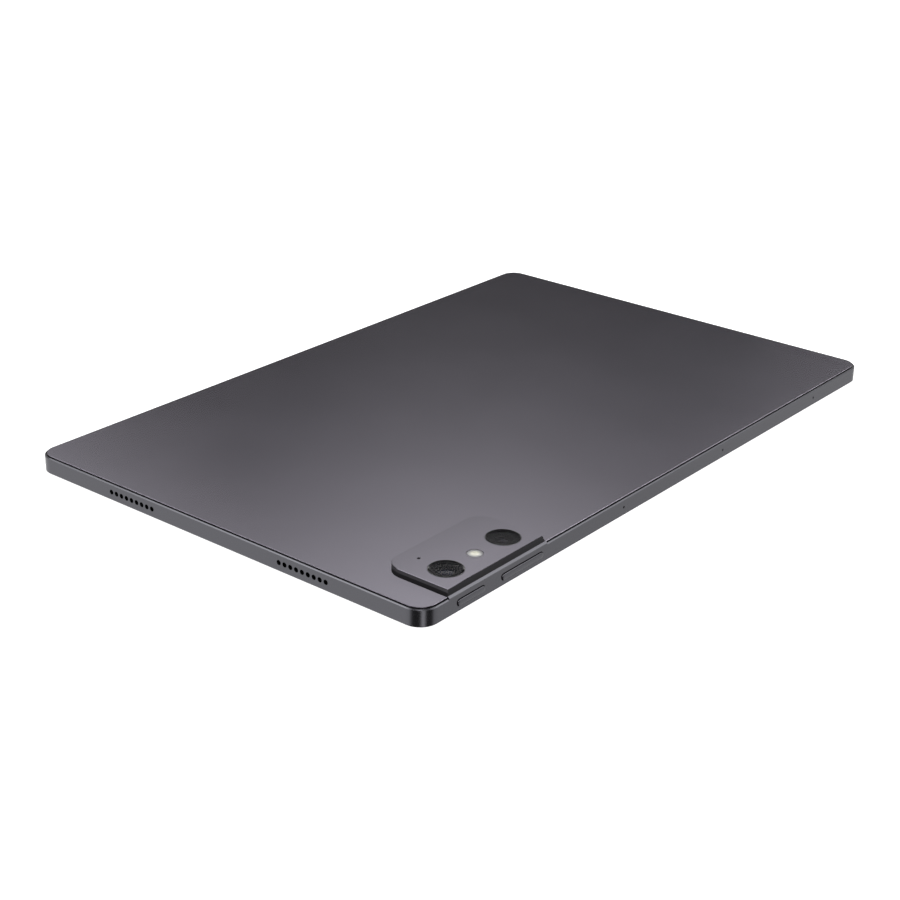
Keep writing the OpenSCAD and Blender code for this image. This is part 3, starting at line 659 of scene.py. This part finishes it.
def deck_gauze():
    """The black gauze over the deck's microphone."""
    radius = 0.57 * MM
    top = DECK_HIGH.z - 0.7 * MM
    gauze = Skin()
    gauze.turned(middle("deck_microphone"), [
        (radius, top - 0.15 * MM),
        (radius, top - 0.02 * MM),
        (radius * 0.6, top),
        (radius * 0.2, top + 0.01 * MM),
    ], sides=32)
    gauze.piece("deck_microphone_gauze", "body", slot="mesh", material=PRINT_BLACK)


# ---------------------------------------------------------------- buttons and port
def button(node, stud_out):
    """A button as one milled piece: a crowned cap, the flange behind the wall, and its stud if the
    flange's back lies in front of the node's."""
    low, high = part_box(node)
    centre = middle(node)
    length, height = high.x - low.x, high.z - low.z
    flange_past_ends = 1.25 * MM
    flange_past_sides = 0.5 * MM
    flange_t = 0.4 * MM
    cap_l, cap_h = length - 2 * flange_past_ends, height - 2 * flange_past_sides
    chamfer = 0.05 * MM
    crown = 0.32 * MM
    flat_inset = 0.75 * MM
    flat_proud = 0.03 * MM
    stud_d = 1.2 * MM
    back = high.y - stud_out
    front = back - flange_t

    def outline(inset, y, long, tall):
        """A stadium at a depth, inset from its length and height."""
        long, tall = long - 2 * inset, tall - 2 * inset
        return [(centre.x + x, y, centre.z + z) for x, z in rounded(long, tall, tall / 2, 12)]

    loops = [outline(flat_inset, low.y, cap_l, cap_h)]
    for degrees in range(15, 91, 15):
        angle = math.radians(degrees)
        sink = flat_proud + crown * (1 - math.cos(angle))
        loops.append(outline(crown * (1 - math.sin(angle)), low.y + sink, cap_l, cap_h))
    loops += [
        outline(0, front, cap_l, cap_h),
        outline(chamfer, front, length, height),
        outline(0, front + chamfer, length, height),
        outline(0, back - chamfer, length, height),
        outline(chamfer, back, length, height),
    ]
    skin = Skin()
    skin.loft(loops)
    if stud_out > 0:
        stud = [(centre.x + x, centre.z + z) for x, z in rounded(stud_d, stud_d, stud_d / 2, 6)]
        skin.loft([[(x, y, z) for x, z in stud] for y in (back - 0.01 * MM, high.y)])
    skin.piece(node + "_milled", node, [node])


def port_tongue():
    """The port's tongue, thinned towards its tip, and the two rows of gold contacts."""
    node = "usb_c_tongue"
    low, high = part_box(node)
    centre = middle(node)
    thinned = 0.02 * MM
    thin_l = 4.3 * MM
    slope_l = 0.1 * MM
    tip_l = 0.25 * MM
    tip_inset = 0.2 * MM

    def section(x, inset):
        wide, tall = high.y - low.y - 2 * inset, high.z - low.z - 2 * inset
        return [(x, centre.y + y, centre.z + z) for y, z in rounded(wide, tall, 0.12 * MM, 4)]

    tongue = Skin()
    tongue.loft([
        section(low.x, 0),
        section(high.x - thin_l - slope_l, 0),
        section(high.x - thin_l, thinned),
        section(high.x - tip_l, thinned),
        section(high.x, tip_inset),
    ])
    tongue.piece("usb_c_tongue_moulded", "body", [node])

    in_row = 12
    pitch = 0.5 * MM
    half_w = 0.13 * MM
    thick = 0.03 * MM
    bevel = 0.03 * MM
    ends = (high.x - 3.9 * MM, high.x - 0.6 * MM)
    contacts = Skin()
    for i in range(in_row):
        y = centre.y + (i - (in_row - 1) / 2) * pitch
        for bottom, top in ((low.z, low.z + thick), (high.z - thick, high.z)):
            contacts.block((ends[0], y - half_w, bottom), (ends[1], y + half_w, top), bevel)
    contacts.piece("usb_c_contacts", "body", slot="port_steel", material=GOLD)


deck_shell("camera_deck", DECK_METAL)
deck_shell("camera_deck_frame", MATERIALS["deck_wall"])
deck_shell("camera_deck_base", MATERIALS["deck_black"])
for camera_name in ("main", "wide"):
    lens_ring(camera_name)
    lens_window(camera_name)
    lens_print(camera_name)
    camera_module(camera_name)
    lens_element(camera_name)
flash()
deck_gauze()
button("power_button", 0.13 * MM)
button("volume_rocker", 0.0)
port_tongue()


# ---------------------------------------------------------------- studio
def camera():
    """The photograph's viewpoint: low over the corner with the camera deck, nearly level."""
    place = Vector((-0.507456, -0.394512, 0.272078))
    yaw, down, roll = (math.radians(angle) for angle in (51.244, 23.877, 1.101))
    ahead = Vector((math.sin(yaw) * math.cos(down), math.cos(yaw) * math.cos(down), -math.sin(down)))
    level = Vector((math.cos(yaw), -math.sin(yaw), 0))
    upright = level.cross(ahead)
    right = math.cos(roll) * level + math.sin(roll) * upright
    up = -math.sin(roll) * level + math.cos(roll) * upright
    data = bpy.data.cameras.new("camera")
    data.lens = 72.55
    data.sensor_width = 36
    data.clip_start = 0.01
    thing = bpy.data.objects.new("camera", data)
    thing.matrix_world = Matrix.Translation(place) @ Matrix((right, up, -ahead)).transposed().to_4x4()
    bpy.context.collection.objects.link(thing)
    bpy.context.scene.camera = thing


def floor():
    """A pale floor, which the frame's polished sides don't mirror: they mirror the studio."""
    half = 4
    just_below = -0.02 * MM
    mesh = bpy.data.meshes.new("floor")
    corners = [(x * half, y * half, just_below) for x, y in ((-1, -1), (1, -1), (1, 1), (-1, 1))]
    mesh.from_pydata(corners, [], [(0, 1, 2, 3)])
    thing = bpy.data.objects.new("floor", mesh)
    thing.visible_glossy = False
    bpy.context.collection.objects.link(thing)
    s = Shader(
        "floor_white", (0.6, 0.6, 0.6), 0.9,
        Specular_IOR_Level=0.0, Emission_Color=(1, 1, 1, 1), Emission_Strength=0.9,
    )
    mesh.materials.append(s.material)


# The studio's soft round lights, named as the camera sees them: azimuth from +X, elevation, the
# radius that is fully lit, the radius where it has faded, all in degrees, and radiance
LIGHTS = {
    "back": (38, 34, 3, 10, 2.6),
    "back_left": (57, 36, 4, 12, 4.75),
    "back_right": (18, 36, 4, 12, 8.5),
    "left": (125, 45, 6, 18, 3.0),
    "right": (-32, 38, 5, 16, 2.2),
    "front": (222, 42, 8, 24, 2.6),
    "top": (0, 90, 10, 30, 1.2),
    "low_left": (115, -22, 40, 58, 0.92),
    "low_right": (-18, -22, 38, 55, 0.68),
    "low_front": (236, -27, 3, 14, 1.6),
    "below": (0, -90, 70, 92, 0.07),
    "low_back": (48, -22, 12, 34, 0.7),
    "left_front": (158, 34, 6, 18, 2.6),
    "front_left": (190, 34, 6, 18, 2.6),
    "front_right": (258, 34, 6, 18, 2.6),
    "right_front": (292, 34, 6, 18, 2.6),
    "right_lower": (312, 26, 5, 14, 2.0),
}


def studio():
    """A black surround with soft round lights, which the camera itself sees as plain white."""
    world = bpy.data.worlds.new("studio")
    world.use_nodes = True
    world.node_tree.nodes.clear()
    nodes = Nodes(world.node_tree)
    background = nodes.add("ShaderNodeBackground")
    nodes.link(background.outputs[0], nodes.add("ShaderNodeOutputWorld").inputs["Surface"])
    place = nodes.add("ShaderNodeTexCoord").outputs["Generated"]
    total = None
    for azimuth, elevation, full, faded, radiance in LIGHTS.values():
        azimuth, elevation = math.radians(azimuth), math.radians(elevation)
        towards = nodes.add("ShaderNodeVectorMath", operation="DOT_PRODUCT")
        towards.inputs[1].default_value = (
            math.cos(azimuth) * math.cos(elevation),
            math.sin(azimuth) * math.cos(elevation),
            math.sin(elevation),
        )
        nodes.link(place, towards.inputs[0])
        edge, core = math.cos(math.radians(faded)), math.cos(math.radians(full))
        glow = nodes.ranged(
            towards.outputs["Value"], edge, core, 0, radiance, interpolation_type="SMOOTHSTEP"
        )
        total = glow if total is None else nodes.maths("ADD", glow, total)
    seen = nodes.add("ShaderNodeLightPath").outputs["Is Camera Ray"]
    backdrop = nodes.add("ShaderNodeMix", data_type="FLOAT")
    for socket, value in (("Factor", seen), ("A", total), ("B", 1.0)):
        nodes.put(backdrop.inputs[socket], value)
    nodes.link(backdrop.outputs["Result"], background.inputs["Color"])
    bpy.context.scene.world = world


camera()
floor()
studio()
bpy.context.scene.view_settings.view_transform = "Standard"
